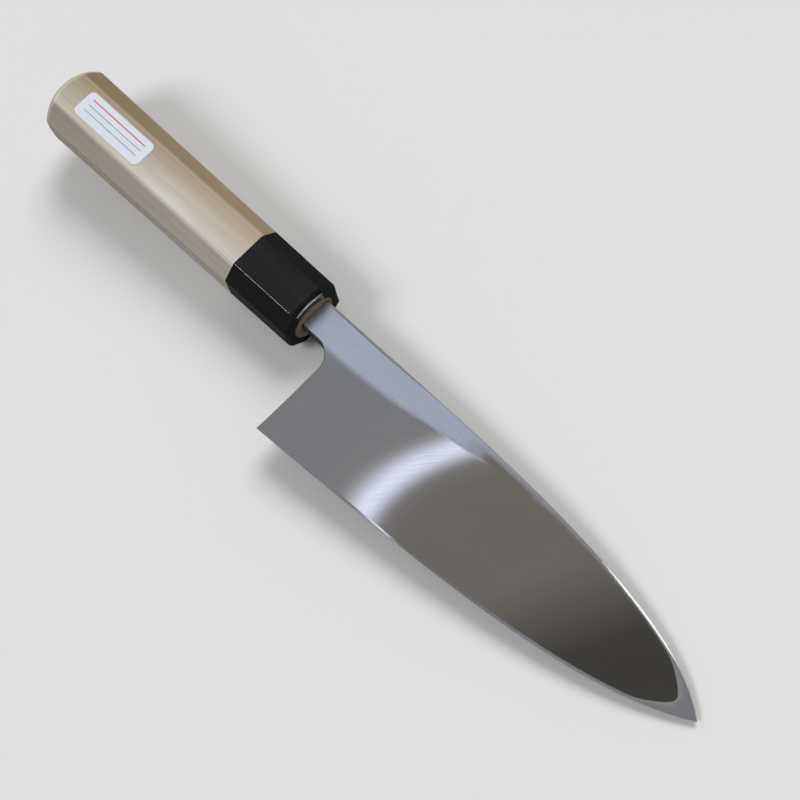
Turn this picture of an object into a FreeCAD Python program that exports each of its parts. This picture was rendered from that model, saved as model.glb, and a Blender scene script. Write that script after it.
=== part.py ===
import FreeCAD, Part
import math
import os
import re

import Sketcher

# Deba knife with a single bevel, lying with its hollow face up.
# Working axes: X along the handle towards the tip, zero at the ferrule's front face,
# Y towards the spine, Z out of the hollow face; the handle's centre line is Y = Z = 0.

Vector = FreeCAD.Vector
Rotation = FreeCAD.Rotation

# Driving dimensions in millimetres: name, size, what it measures
SIZES = [
    ("handle_length", 137.0, "top of the domed butt to the ferrule's front face"),
    ("butt_height", 28.35, "handle at the butt, across its edge-side and spine-side flats"),
    ("butt_width", 26.03, "handle at the butt, across its two broad flats"),
    ("butt_bevel", 6.65, "leg of the 45 degree facets at the butt"),
    ("front_height", 25.4, "handle at the front, edge side to spine side"),
    ("front_width", 23.4, "handle at the front, across its broad flats"),
    ("front_bevel", 5.6, "leg of the 45 degree facets at the front"),
    ("butt_dome", 20.0, "radius of the domed butt"),
    ("butt_round", 1.8, "rounding of the butt's rim"),
    ("facet_round", 0.5, "rounding of the handle's long edges"),
    ("ferrule_length", 32.0, "horn ferrule along the handle"),
    ("ferrule_round", 1.4, "rounding of the ferrule's front rim"),
    ("tenon_diameter", 18.4, "round wooden tenon inside the ferrule"),
    ("tenon_proud", 0.2, "tenon's end in front of the ferrule"),
    ("tenon_fit", 0.05, "gap round the tenon"),
    ("neck_length", 16.0, "ferrule to the heel"),
    ("neck_height", 12.7, "neck from its underside to the spine"),
    ("spine_rise", 7.4, "spine above the handle's centre line"),
    ("machi_round", 8.0, "inside corner between the neck and the heel"),
    ("blade_length", 180.0, "heel to tip"),
    ("heel_drop", 44.0, "heel corner below the centre line"),
    ("tip_drop", 15.0, "tip below the centre line"),
    ("spine_straight", 42.0, "straight stretch of the spine, from the ferrule"),
    ("spine_ease", 55.0, "pull of the spine's curve at its start"),
    ("nose_reach", 23.5, "pull of the spine's curve behind the tip"),
    ("edge_ease", 113.0, "pull of the edge's curve at the heel"),
    ("edge_lift", 5.6, "rise of that pull above the heel"),
    ("belly_reach", 28.7, "pull of the edge's curve behind the tip"),
    ("belly_drop", 16.3, "fall of that pull below the tip"),
    ("spine_thickness", 7.0, "neck and spine, up to the heel"),
    ("tip_thickness", 2.2, "spine at the tip, where the taper ends"),
    ("bevel_width", 21.0, "cutting bevel at full thickness"),
    ("steel_thickness", 2.4, "hard steel layer on the hollow side"),
    ("steel_inside", 1.0, "end of the steel layer below the tenon's end"),
    ("grind_radius", 320.0, "wheel that ground the hollow"),
    ("spine_rim", 1.1, "flat rim between the hollow and the spine"),
    ("edge_rim", 1.0, "flat rim between the hollow and the edge"),
    ("tip_rim", 9.5, "flat rim behind the tip"),
    ("hollow_close", 13.0, "length of the hollow's rounded end"),
    ("band_depth", 12.1, "flat band below the spine at the neck"),
    ("band_length", 92.0, "where that band has narrowed away, from the ferrule"),
    ("neck_inside", 6.0, "full neck section inside the handle"),
    ("tang_length", 92.0, "end of the tang behind the ferrule's front"),
    ("tang_end_height", 6.0, "tang at its end, edge side to spine side"),
    ("tang_end_thickness", 3.4, "tang at its end, across its flats"),
    ("socket_fit", 0.1, "gap between the tang and its burnt socket"),
    ("seal_depth", 2.5, "resin seal below the tenon's end"),
    ("seal_gap", 0.45, "width of the resin seal round the neck"),
    ("label_length", 35.0, "paper label along the handle"),
    ("label_width", 11.0, "paper label across the handle"),
    ("label_thickness", 0.15, "paper label"),
    ("label_corner", 2.2, "rounded corners of the label"),
    ("label_setback", 15.0, "label's end from the top of the butt"),
]
OVERSIZE = 5.0  # how far a cutting shape stands out past the surface it cuts
STATIONS = 12  # sections through the hollow
BLUNT_END = 0.99  # share of its rounded end at which the hollow stops
CLOSE_ENOUGH = 1e-9  # share of a curve, when a point on it is searched for

doc = FreeCAD.newDocument("deba_knife")
sheet = doc.addObject("Spreadsheet::Sheet", "Sizes")
for row, (alias, millimetres, meaning) in enumerate(SIZES, start=1):
    sheet.set(f"A{row}", str(millimetres))
    sheet.setAlias(f"A{row}", alias)
    sheet.set(f"B{row}", meaning)
doc.recompute()


def size(alias):
    return float(sheet.get(alias))


def cells(formula):
    # Every size's name has an underscore, so a plain formula becomes one that reads the sheet
    return re.sub(r"[a-z]+(?:_[a-z]+)+", r"Sizes.\g<0>", formula)


def bind(thing, formulas):
    for name, formula in formulas.items():
        thing.setExpression(name, cells(formula))
    return thing


def place(thing, x, y, z, rotation=None):
    if rotation:
        thing.Placement = FreeCAD.Placement(Vector(), rotation)
    return bind(thing, {"Placement.Base.x": x, "Placement.Base.y": y, "Placement.Base.z": z})


def box(name, x, y, z):
    # Each axis is given as a pair of formulas, the low and the high side
    block = doc.addObject("Part::Box", name)
    for side, (low, high) in zip(("Length", "Width", "Height"), (x, y, z)):
        bind(block, {side: f"({high}) - ({low})"})
    return place(block, x[0], y[0], z[0])


def taper(name, start, end, start_section, end_section, rotation):
    # Rectangular section that changes steadily from one end to the other
    wedge = doc.addObject("Part::Wedge", name)
    bind(wedge, {"Ymin": start, "Ymax": end})
    bind(wedge, dict(zip(("Xmin", "Xmax", "Zmin", "Zmax"), start_section)))
    bind(wedge, dict(zip(("X2min", "X2max", "Z2min", "Z2max"), end_section)))
    wedge.Placement = FreeCAD.Placement(Vector(), rotation)
    return wedge


def combine(kind, name, base, tool):
    result = doc.addObject(f"Part::{kind}", name)
    result.Base = base
    result.Tool = tool
    return result


def rounded(name, base, radii):
    # radii: list of (edge test, radius); the first test that an edge passes gives its radius
    doc.recompute()
    result = doc.addObject("Part::Fillet", name)
    result.Base = base
    chosen = []
    for number, edge in enumerate(base.Shape.Edges, start=1):
        radius = next((curve for test, curve in radii if test(edge)), None)
        if radius:
            chosen.append((number, radius, radius))
    result.Edges = chosen
    return result


def pin(sketch, element, point, x, y):
    # Fixes one point of a sketch at two formulas, measured from the sketch's origin
    for direction, formula in (("DistanceX", x), ("DistanceY", y)):
        place_now = sketch.getPoint(element, point)
        start = place_now.x if direction == "DistanceX" else place_now.y
        number = sketch.addConstraint(Sketcher.Constraint(direction, -1, 1, element, point, start))
        sketch.setExpression(f"Constraints[{number}]", cells(formula))


def amount(formula):
    # Number that a formula has now, for a sketch's first drawing
    return float(sheet.evalExpression(re.sub(r"Sizes\.", "", cells(formula))))


def point(x, y):
    return Vector(amount(x), amount(y), 0)


def straight(sketch, start, end):
    line = sketch.addGeometry(Part.LineSegment(point(*start), point(*end)))
    pin(sketch, line, 1, *start)
    pin(sketch, line, 2, *end)


def curved(sketch, poles):
    # Smooth curve with four poles, its ends on the first and last of them
    curve = Part.BezierCurve()
    curve.setPoles([point(*pole) for pole in poles])
    drawn = sketch.addGeometry(curve.toBSpline())
    sketch.exposeInternalGeometry(drawn)
    for number, pole in enumerate(poles, start=1):
        pin(sketch, drawn + number, 3, *pole)


# Corners and poles of the blade's outline, shared by the blank, the bevel and the hollow
TIP_X = "neck_length + blade_length"
UNDERSIDE = "spine_rise - neck_height"
TIP = (TIP_X, "-tip_drop")
HEEL = ("neck_length", "-heel_drop")
SPINE_POLES = [
    ("spine_straight", "spine_rise"),
    ("spine_straight + spine_ease", "spine_rise"),
    (f"{TIP_X} - nose_reach", "spine_rise"),
    TIP,
]
EDGE_POLES = [
    HEEL,
    ("neck_length + edge_ease", "edge_lift - heel_drop"),
    (f"{TIP_X} - belly_reach", "-tip_drop - belly_drop"),
    TIP,
]
HALF = "spine_thickness / 2"


def blade_outline():
    plan = doc.addObject("Sketcher::SketchObject", "blade_plan")
    back = "-neck_inside"
    heel_top = ("neck_length", f"{UNDERSIDE} - machi_round")
    neck_corner = ("neck_length - machi_round", UNDERSIDE)
    straight(plan, (back, "spine_rise"), SPINE_POLES[0])
    curved(plan, SPINE_POLES)
    curved(plan, EDGE_POLES)
    straight(plan, HEEL, heel_top)
    centre = point(neck_corner[0], heel_top[1])
    ring = Part.Circle(centre, Vector(0, 0, 1), size("machi_round"))
    corner = plan.addGeometry(Part.ArcOfCircle(ring, 0, math.pi / 2))
    pin(plan, corner, 3, neck_corner[0], heel_top[1])
    pin(plan, corner, 1, *heel_top)
    plan.addConstraint(Sketcher.Constraint("Vertical", corner, 3, corner, 2))
    straight(plan, neck_corner, (back, UNDERSIDE))
    straight(plan, (back, UNDERSIDE), (back, "spine_rise"))
    return plan


def extrude(name, sketch, direction):
    # With no length of its own the extrusion is as long as its direction
    solid = doc.addObject("Part::Extrusion", name)
    solid.Base = sketch
    solid.DirMode = "Custom"
    solid.Solid = True
    bind(solid, dict(zip(("Dir.x", "Dir.y", "Dir.z"), direction)))
    return solid


def blade_blank():
    # Outline at full thickness, thinned towards the tip and then ground to the cutting bevel
    plan = blade_outline()
    bind(plan, {"Placement.Base.z": f"-{HALF}"})
    slab = extrude("blade_slab", plan, ("0", "0", "spine_thickness"))

    side = doc.addObject("Sketcher::SketchObject", "taper_side")
    end_x = f"{TIP_X} + {OVERSIZE}"
    rise = "(spine_thickness - tip_thickness) / blade_length"
    low = f"-{HALF}"
    high = f"-{HALF} + {rise} * (blade_length + {OVERSIZE})"
    corners = [("neck_length", low), (end_x, low), (end_x, high)]
    for start, end in zip(corners, corners[1:] + corners[:1]):
        straight(side, start, end)
    place(side, "0", f"spine_rise + {OVERSIZE}", "0", Rotation(Vector(1, 0, 0), 90))
    reach = f"-(spine_rise + heel_drop + 2 * {OVERSIZE})"
    thinning = extrude("thinning", side, ("0", reach, "0"))
    thinned = combine("Cut", "thinned", slab, thinning)

    region = doc.addObject("Sketcher::SketchObject", "bevel_region")
    before = f"neck_length - {OVERSIZE}"
    below = "-heel_drop - 2 * bevel_width"
    corners = [TIP, (TIP_X, below), (before, below), (before, "-heel_drop"), HEEL]
    curved(region, EDGE_POLES)
    for start, end in zip(corners, corners[1:]):
        straight(region, start, end)
    bind(region, {"Placement.Base.z": HALF})
    through = "1.2"  # share of the thickness, to come out below it
    slant = ("0", f"{through} * bevel_width", f"-{through} * spine_thickness")
    return combine("Cut", "blade_blank", thinned, extrude("bevel_cutter", region, slant))


def height_at(poles, x):
    # Height of an outline curve above the centre line, at a distance from the ferrule
    curve = Part.BezierCurve()
    curve.setPoles([point(*pole) for pole in poles])
    low, high = 0.0, 1.0
    while high - low > CLOSE_ENOUGH:
        middle = (low + high) / 2
        if curve.value(middle).x < x:
            low = middle
        else:
            high = middle
    return curve.value(low).y


def hollow_section(x, top, bottom):
    # Shallow arc of the grinding wheel between two points of the face, closed above the face
    face = size("spine_thickness") / 2
    middle = (top + bottom) / 2
    half = (top - bottom) / 2
    wheel = size("grind_radius")
    depth = wheel - math.sqrt(wheel**2 - half**2)
    ends = [Vector(x, top, face), Vector(x, bottom, face)]
    raised = [end + Vector(0, 0, OVERSIZE) for end in ends]
    arc = Part.Arc(ends[0], Vector(x, middle, face - depth), ends[1]).toShape()
    sides = Part.makePolygon([ends[1], raised[1], raised[0], ends[0]])
    return Part.Wire([arc] + sides.Edges)


def hollow_cutter():
    # Sections run from the neck to the rounded end; the upper border is the spine's rim or,
    # near the neck, a parabola below the flat band
    tip_x = size("neck_length") + size("blade_length")
    first = size("neck_length") - size("machi_round") - OVERSIZE
    last = tip_x - size("tip_rim")
    closing = last - size("hollow_close")
    heel = size("neck_length")
    sections = []
    for number in range(STATIONS):
        share = number / (STATIONS - 1)
        x = first + (last - first) * math.sin(share * math.pi / 2)
        band = 1 - max(x, 0) ** 2 / size("band_length") ** 2
        spine = height_at(SPINE_POLES, x) if x > size("spine_straight") else size("spine_rise")
        top = spine - max(size("spine_rim"), size("band_depth") * band)
        bottom = height_at(EDGE_POLES, max(x, heel)) + size("edge_rim")
        run_out = min(max(x - closing, 0) / size("hollow_close"), BLUNT_END)
        half = (top - bottom) / 2 * math.sqrt(1 - run_out**2)
        middle = (top + bottom) / 2
        sections.append(hollow_section(x, middle + half, middle - half))
    cutter = doc.addObject("Part::Feature", "hollow_cutter")
    cutter.Shape = Part.makeLoft(sections, True)
    return cutter


def blade_layers():
    # The blank splits into the hard steel on its hollow side and the soft iron behind it,
    # which also makes the neck and the tang
    blank = blade_blank()
    zone = box(
        "steel_zone",
        ("tenon_proud - steel_inside", f"{TIP_X} + {OVERSIZE}"),
        (f"-heel_drop - {OVERSIZE}", f"spine_rise + {OVERSIZE}"),
        (f"{HALF} - steel_thickness", f"{HALF} + {OVERSIZE}"),
    )
    hollow = hollow_cutter()
    steel = combine("Cut", "blade_steel", combine("Common", "steel_layer", blank, zone), hollow)
    backing = combine("Cut", "iron_layer", blank, zone)
    tang = taper(
        "tang",
        "neck_inside",
        "tang_length",
        (UNDERSIDE, "spine_rise", f"-{HALF}", HALF),
        (
            "-tang_end_height / 2",
            "tang_end_height / 2",
            "-tang_end_thickness / 2",
            "tang_end_thickness / 2",
        ),
        Rotation(Vector(0, 0, 1), 90),
    )
    joined = combine("Fuse", "iron_with_tang", backing, tang)
    return combine("Cut", "blade_iron", joined, hollow), steel


def handle_stretch(name, start, end):
    # Block round a stretch of the handle, wider than the handle is anywhere
    side = "butt_height + butt_width"
    across = (f"-({side})", side)
    return box(name, (start, end), across, across)


def handle_blank():
    # Tapered octagon from the butt to the ferrule's front, domed at the butt, with softened edges
    along = Rotation(Vector(0, 0, 1), -90)
    halves = []
    for end in ("butt", "front"):
        across = f"{end}_height / 2"
        thick = f"{end}_width / 2"
        halves.append((across, thick, f"({across} + {thick} - {end}_bevel) / sqrt(2)"))
    flats = [(f"-{a}", a, f"-{b}", b) for a, b, c in halves]
    facets = [(f"-{c}", c, f"-{c}", c) for a, b, c in halves]
    turned = Rotation(Vector(1, 0, 0), 45).multiply(along)
    octagon = combine(
        "Common",
        "octagon",
        taper("flats", "-handle_length", "0", *flats, along),
        taper("facets", "-handle_length", "0", *facets, turned),
    )
    ball = doc.addObject("Part::Sphere", "butt_ball")
    bind(ball, {"Radius": "butt_dome"})
    middle = "butt_dome - handle_length"
    place(ball, middle, "0", "0")
    end = handle_stretch("butt_end", f"-handle_length - {OVERSIZE}", middle)
    domed = combine("Cut", "domed_octagon", octagon, combine("Cut", "butt_waste", end, ball))

    def at_butt(edge):
        return edge.BoundBox.XMax < -size("handle_length") / 2

    def at_front(edge):
        return edge.BoundBox.XMin > -size("handle_length") / 2

    return rounded(
        "handle_blank",
        domed,
        [
            (at_butt, size("butt_round")),
            (at_front, size("ferrule_round")),
            (lambda edge: True, size("facet_round")),
        ],
    )


def around(gap):
    # Section of the neck with a gap on every side: low and high across, low and high through
    return (
        (f"{UNDERSIDE} - {gap}", f"spine_rise + {gap}"),
        (f"-{HALF} - {gap}", f"{HALF} + {gap}"),
    )


def tang_socket():
    # Burnt socket that follows the tang with a small gap, and the wider mouth for the seal
    (low, high), (near, far) = around("socket_fit")
    inside = ("-neck_inside", f"tenon_proud + {OVERSIZE}")
    start = box("socket_neck", inside, (low, high), (near, far))
    end_height = "tang_end_height / 2 + socket_fit"
    end_thickness = "tang_end_thickness / 2 + socket_fit"
    deep = taper(
        "socket_tang",
        "neck_inside",
        "tang_length + socket_fit",
        (low, high, near, far),
        (f"-({end_height})", end_height, f"-({end_thickness})", end_thickness),
        Rotation(Vector(0, 0, 1), 90),
    )
    depth = ("tenon_proud - seal_depth", f"tenon_proud + {OVERSIZE}")
    mouth = box("socket_mouth", depth, *around("seal_gap"))
    socket = doc.addObject("Part::MultiFuse", "socket")
    socket.Shapes = [start, deep, mouth]
    return socket


def round_bar(name, radius, start, end):
    bar = doc.addObject("Part::Cylinder", name)
    bind(bar, {"Radius": radius, "Height": f"({end}) - ({start})"})
    return place(bar, start, "0", "0", Rotation(Vector(0, 1, 0), 90))


def handle_and_ferrule():
    blank = handle_blank()
    zone = handle_stretch("ferrule_zone", "-ferrule_length", f"{OVERSIZE}")
    grip = combine("Cut", "grip", blank, zone)
    tenon = round_bar("tenon", "tenon_diameter / 2", "-ferrule_length", "tenon_proud")
    wood = combine("Cut", "handle", combine("Fuse", "grip_and_tenon", grip, tenon), tang_socket())
    bore = round_bar(
        "ferrule_bore",
        "tenon_diameter / 2 + tenon_fit",
        f"-ferrule_length - {OVERSIZE}",
        f"{OVERSIZE}",
    )
    horn = combine("Cut", "ferrule", combine("Common", "horn_block", blank, zone), bore)
    return wood, horn


def tang_seal():
    # Resin ring that fills the mouth between the neck and the tenon
    depth = ("tenon_proud - seal_depth", "tenon_proud")
    plug = box("seal_block", depth, *around("seal_gap"))
    through = (f"tenon_proud - seal_depth - {OVERSIZE}", f"tenon_proud + {OVERSIZE}")
    passage = box("seal_passage", through, *around("0"))
    return combine("Cut", "tang_seal", plug, passage)


def label():
    # Plain paper on the upper broad flat, tilted with the handle's taper
    slope = "(butt_width - front_width) / 2 / handle_length"
    paper = doc.addObject("Part::Box", "label_paper")
    bind(paper, {"Length": "label_length", "Width": "label_width", "Height": "label_thickness"})
    rest = f"butt_width / 2 - label_setback * {slope}"
    tilted = Rotation(Vector(0, 1, 0), 1)
    place(paper, "label_setback - handle_length", "-label_width / 2", rest, tilted)
    bind(paper, {"Placement.Rotation.Angle": f"atan({slope})"})

    def upright(edge):
        return abs(edge.Length - size("label_thickness")) < size("label_thickness") / 10

    return rounded("label", paper, [(upright, size("label_corner"))])


iron, steel = blade_layers()
wood, horn = handle_and_ferrule()
parts = [iron, steel, wood, horn, tang_seal(), label()]
for part in parts:
    # The finished frame has its origin below the middle of the whole knife's box
    place(
        part,
        f"(handle_length - ({TIP_X})) / 2",
        "(heel_drop - butt_height / 2) / 2",
        "butt_width / 2",
    )
doc.recompute()

for thing in doc.Objects:
    if "Invalid" in thing.State or "Error" in thing.State:
        raise RuntimeError(f"{thing.Label} did not build: {thing.State}")
for part in parts:
    shape = part.Shape
    if shape.isNull() or not shape.isValid() or len(shape.Solids) != 1:
        raise RuntimeError(f"{part.Label} is not one sound solid")
for part in parts:
    part.Shape.exportStep(f"parts/{part.Label}.step")
    print(part.Label, "volume", round(part.Shape.Volume, 1), "box", part.Shape.BoundBox)
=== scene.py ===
import math

import bmesh
import bpy
import numpy as np
from mathutils import Matrix, Vector


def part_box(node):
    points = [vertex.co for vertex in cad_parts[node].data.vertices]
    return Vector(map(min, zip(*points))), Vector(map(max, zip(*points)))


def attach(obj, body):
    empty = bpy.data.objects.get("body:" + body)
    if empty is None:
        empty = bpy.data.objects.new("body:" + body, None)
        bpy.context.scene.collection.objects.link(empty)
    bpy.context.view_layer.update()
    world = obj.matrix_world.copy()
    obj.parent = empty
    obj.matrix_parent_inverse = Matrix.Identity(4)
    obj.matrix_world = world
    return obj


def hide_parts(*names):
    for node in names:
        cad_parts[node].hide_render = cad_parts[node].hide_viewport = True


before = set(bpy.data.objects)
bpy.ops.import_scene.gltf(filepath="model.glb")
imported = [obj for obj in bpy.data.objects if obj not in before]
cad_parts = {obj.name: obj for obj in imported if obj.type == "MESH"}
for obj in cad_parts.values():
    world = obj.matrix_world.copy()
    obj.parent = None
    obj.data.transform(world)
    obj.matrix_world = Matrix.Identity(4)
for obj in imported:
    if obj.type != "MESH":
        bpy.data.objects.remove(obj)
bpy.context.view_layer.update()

# Deba knife, hollow face up. Shapes are worked out in millimetres on the knife's own axes:
# X = 0 at the ferrule's front and growing to the tip, Y to the spine, Z out of the hollow face,
# with the handle's centre line at Y = Z = 0.
mm = 0.001
woodLow, woodHigh = (np.array(corner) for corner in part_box("handle"))
hornLow, hornHigh = (np.array(corner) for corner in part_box("ferrule"))
steelLow, steelHigh = (np.array(corner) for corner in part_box("blade_steel"))
ironLow, _ = (np.array(corner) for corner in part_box("blade_iron"))
sealLow, sealHigh = (np.array(corner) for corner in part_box("tang_seal"))
paperLow, paperHigh = (np.array(corner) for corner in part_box("label"))
knifeOrigin = np.array([hornHigh[0], (woodLow[1] + woodHigh[1]) / 2, (woodLow[2] + woodHigh[2]) / 2])


def toKnife(corner):
    # Millimetres on the knife's axes, from metres in the frame
    return (corner - knifeOrigin) / mm


def toFrame(points):
    # Metres in the frame, from millimetres on the knife's axes
    return np.asarray(points) * mm + knifeOrigin


buttX = toKnife(woodLow)[0]
tenonX = toKnife(woodHigh)[0]
hornBackX = toKnife(hornLow)[0]
sealX = toKnife(sealLow)[0]
tangEndX, _, backZ = toKnife(ironLow)
steelStartX, heelY, layerZ = toKnife(steelLow)
tipX, spineY, faceZ = toKnife(steelHigh)
print("frame read, knife", round((tipX - buttX) * mm, 3), "m long")


# Shared tools for meshes

def smoothStep(low, high, value):
    # 0 below low, 1 above high, and 3 s^2 - 2 s^3 between them
    share = np.clip((value - low) / (high - low), 0, 1)
    return share * share * (3 - 2 * share)


def tubeFaces(rings, count, joined):
    # Quads between rings of count points each; the ring closes on itself, and joined closes the stack
    stack = np.arange(rings if joined else rings - 1)[:, None]
    around = np.arange(count)[None, :]
    above = (stack + 1) % rings
    beside = (around + 1) % count
    corners = [
        stack * count + around, stack * count + beside,
        above * count + beside, above * count + around,
    ]
    return np.stack(np.broadcast_arrays(*corners), axis=-1).reshape(-1, 4)


def makePiece(name, points, faces, finishes, node, tags=None, layers={}, sharpAngle=35):
    # Welds the grid's seams and poles, then shades it smooth with sharp lines at finish borders.
    # Layers are values at the points, such as wear, that the finishes read.
    used, faces = np.unique(faces, return_inverse=True)
    mesh = bpy.data.meshes.new(name)
    mesh.from_pydata(toFrame(points[used]).tolist(), [], faces.reshape(-1, 4).tolist())
    for finish in finishes:
        mesh.materials.append(finish)
    if tags is not None:
        mesh.polygons.foreach_set("material_index", tags.astype(np.int32))
    for title, values in layers.items():
        layer = mesh.attributes.new(title, "FLOAT", "POINT")
        layer.data.foreach_set("value", values.ravel()[used].astype(np.float32))
    weldGap = 0.002 * mm
    welded = bmesh.new()
    welded.from_mesh(mesh)
    bmesh.ops.remove_doubles(welded, verts=welded.verts, dist=weldGap)
    bmesh.ops.dissolve_degenerate(welded, dist=weldGap, edges=welded.edges)
    welded.to_mesh(mesh)
    welded.free()
    mesh.shade_smooth()
    mesh.set_sharp_from_angle(angle=math.radians(sharpAngle))
    edgeOf = np.empty(len(mesh.loops), np.int32)
    mesh.loops.foreach_get("edge_index", edgeOf)
    corners = np.empty(len(mesh.polygons), np.int32)
    mesh.polygons.foreach_get("loop_total", corners)
    finishOf = np.empty(len(mesh.polygons), np.int32)
    mesh.polygons.foreach_get("material_index", finishOf)
    finishOf = np.repeat(finishOf, corners)
    lowest = np.full(len(mesh.edges), len(finishes))
    highest = np.full(len(mesh.edges), -1)
    np.minimum.at(lowest, edgeOf, finishOf)
    np.maximum.at(highest, edgeOf, finishOf)
    sharp = np.empty(len(mesh.edges), bool)
    mesh.edges.foreach_get("use_edge_sharp", sharp)
    mesh.edges.foreach_set("use_edge_sharp", sharp | (lowest != highest))
    piece = bpy.data.objects.new(name, mesh)
    bpy.context.scene.collection.objects.link(piece)
    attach(piece, "root")
    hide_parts(node)
    print(name, len(mesh.polygons), "faces")
    return piece


# Shared tools for finishes

def newFinish(name):
    # New material, with its nodes and its main shader
    finish = bpy.data.materials.new(name)
    finish.use_nodes = True
    return finish, finish.node_tree, finish.node_tree.nodes["Principled BSDF"]


def addNode(tree, kind, inputs, **settings):
    # New node; an input is a plain value or another node's output
    added = tree.nodes.new("ShaderNode" + kind)
    for key, value in settings.items():
        setattr(added, key, value)
    feed(tree, added, inputs)
    return added


def feed(tree, target, inputs):
    # Links the outputs and sets the plain values
    for key, value in inputs.items():
        if isinstance(value, bpy.types.NodeSocket):
            tree.links.new(value, target.inputs[key])
        else:
            target.inputs[key].default_value = value


def places(tree, scale, turn=0.0, shift=(0, 0, 0)):
    # Object coordinates, turned round Z in degrees, shifted in metres and then stretched
    coords = tree.nodes.new("ShaderNodeTexCoord").outputs["Object"]
    inputs = {"Vector": coords, "Location": shift, "Rotation": (0, 0, math.radians(turn))}
    turned = addNode(tree, "Mapping", inputs, vector_type="POINT").outputs[0]
    return addNode(tree, "Mapping", {"Vector": turned, "Scale": scale}, vector_type="POINT").outputs[0]


def spotFrom(tree, origin):
    # X, Y and Z in millimetres from a point of the frame
    spots = places(tree, (1 / mm,) * 3, shift=tuple(-origin))
    return addNode(tree, "SeparateXYZ", {0: spots}).outputs


def noise(tree, scale, detail, rough=0.55, warp=0.0, turn=0.0):
    # Noise from 0 to 1, stretched along each axis
    inputs = {"Vector": places(tree, scale, turn), "Scale": 1.0}
    inputs.update({"Detail": detail, "Roughness": rough, "Distortion": warp})
    return addNode(tree, "TexNoise", inputs).outputs[0]


def ramp(tree, value, low, high, start, end, kind="LINEAR"):
    # Goes from start to end while value goes from low to high
    inputs = {"Value": value, "From Min": low, "From Max": high, "To Min": start, "To Max": end}
    return addNode(tree, "MapRange", inputs, interpolation_type=kind).outputs[0]


def maths(tree, operation, first, second):
    # One step of arithmetic; those with one number leave the second at 0
    return addNode(tree, "Math", {0: first, 1: second}, operation=operation).outputs[0]


def blendColour(tree, share, first, second, kind="MIX"):
    # First colour where share is 0; where it is 1, the second or the product of both
    mixed = addNode(tree, "Mix", {0: share}, data_type="RGBA", blend_type=kind)
    feed(tree, mixed, {6: first, 7: second})
    return mixed.outputs[2]


def relief(tree, height, depth):
    # Bump whose full height is depth millimetres
    return addNode(tree, "Bump", {"Height": height, "Strength": 1.0, "Distance": depth * mm}).outputs[0]


def layerOf(tree, title):
    # Values that the mesh keeps at its points
    return addNode(tree, "Attribute", {}, attribute_name=title).outputs["Fac"]


# Finishes. In their dictionaries a noise is cycles per metre on each axis, detail, roughness, warp
# and turn in degrees. A ramp is from, to, and the values at those two.

# Bare magnolia wood

woodFinish = {
    "pale": (0.73, 0.705, 0.62, 1),  # sapwood of the upper flat, on the edge's side
    "warm": (0.50, 0.42, 0.30, 1),  # the same flat towards the spine
    "heartAndShade": (0.47, 0.435, 0.365, 1),  # heartwood below it, on the edge's side, darker also as painted shade on the lower facets
    "brown": (0.365, 0.295, 0.18, 1),  # heartwood towards the spine, darker also as painted shade on the lower facets
    "upperBlend": (-6.5, 6.5, 0, 1), "lowerBlend": (-3, 3, 0, 1),  # ramps over Y between those, mm
    "sapDepth": (0.5, 1.3),  # mm of sapwood at the butt and at the ferrule
    "sapBlend": (-0.4, 0.4, 1, 0), "sapWander": 0.5,  # its border, mm
    "buttDarkening": (0.84, 0.82, 0.77, 1),  # darkens the wood at the butt
    "buttDarkeningEnd": 0.45,  # where that ends, of the way from the ferrule's front to the butt
    "late": (0.84, 0.815, 0.78, 1),  # darkens late wood, fibres and clouds
    "lateShade": (0, 1, 0, 0.5), "fibreShade": (0.38, 0.7, 0, 0.6), "cloudShade": (0.3, 0.7, 0, 0.7),
    "ringPitch": 2.6, "ringWander": 3.0,  # mm between growth rings, and mm that they stray
    "latePower": 3.0,  # the higher, the narrower the late wood
    "pithY": -46.0, "pithZ": -70.0,  # growth rings turn round this line, mm from the handle's axis
    "bend": ((9, 60, 60), 2.0), "cloud": ((14, 90, 90), 3.0, 0.5),
    "fibre": ((55, 2600, 2600), 3.0, 0.6), "pores": ((600, 3800, 3800), 2.0, 0.7),
    "endGrain": (0.47, 0.39, 0.26, 1), "endFacing": (0.6, 0.95, 0, 1), "endPores": (0.3, 0.7, 0.55, 1.0),
    "burnt": (0.25, 0.19, 0.15, 1), "burntPores": (0.3, 0.7, 0.6, 0.95),
    "burntFrom": 0.3,  # mm in front of the shoulder
    # Worn edges are paler, which is also a painted highlight on the butt's rim and the facets' edges
    "worn": (0.82, 0.79, 0.67, 1), "wearAndHighlightShare": 0.45,
    "gloss": (0.3, 0.7, 0.46, 0.6), "specular": 0.42,
    "fibreDepth": 0.012,  # mm
}


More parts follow.
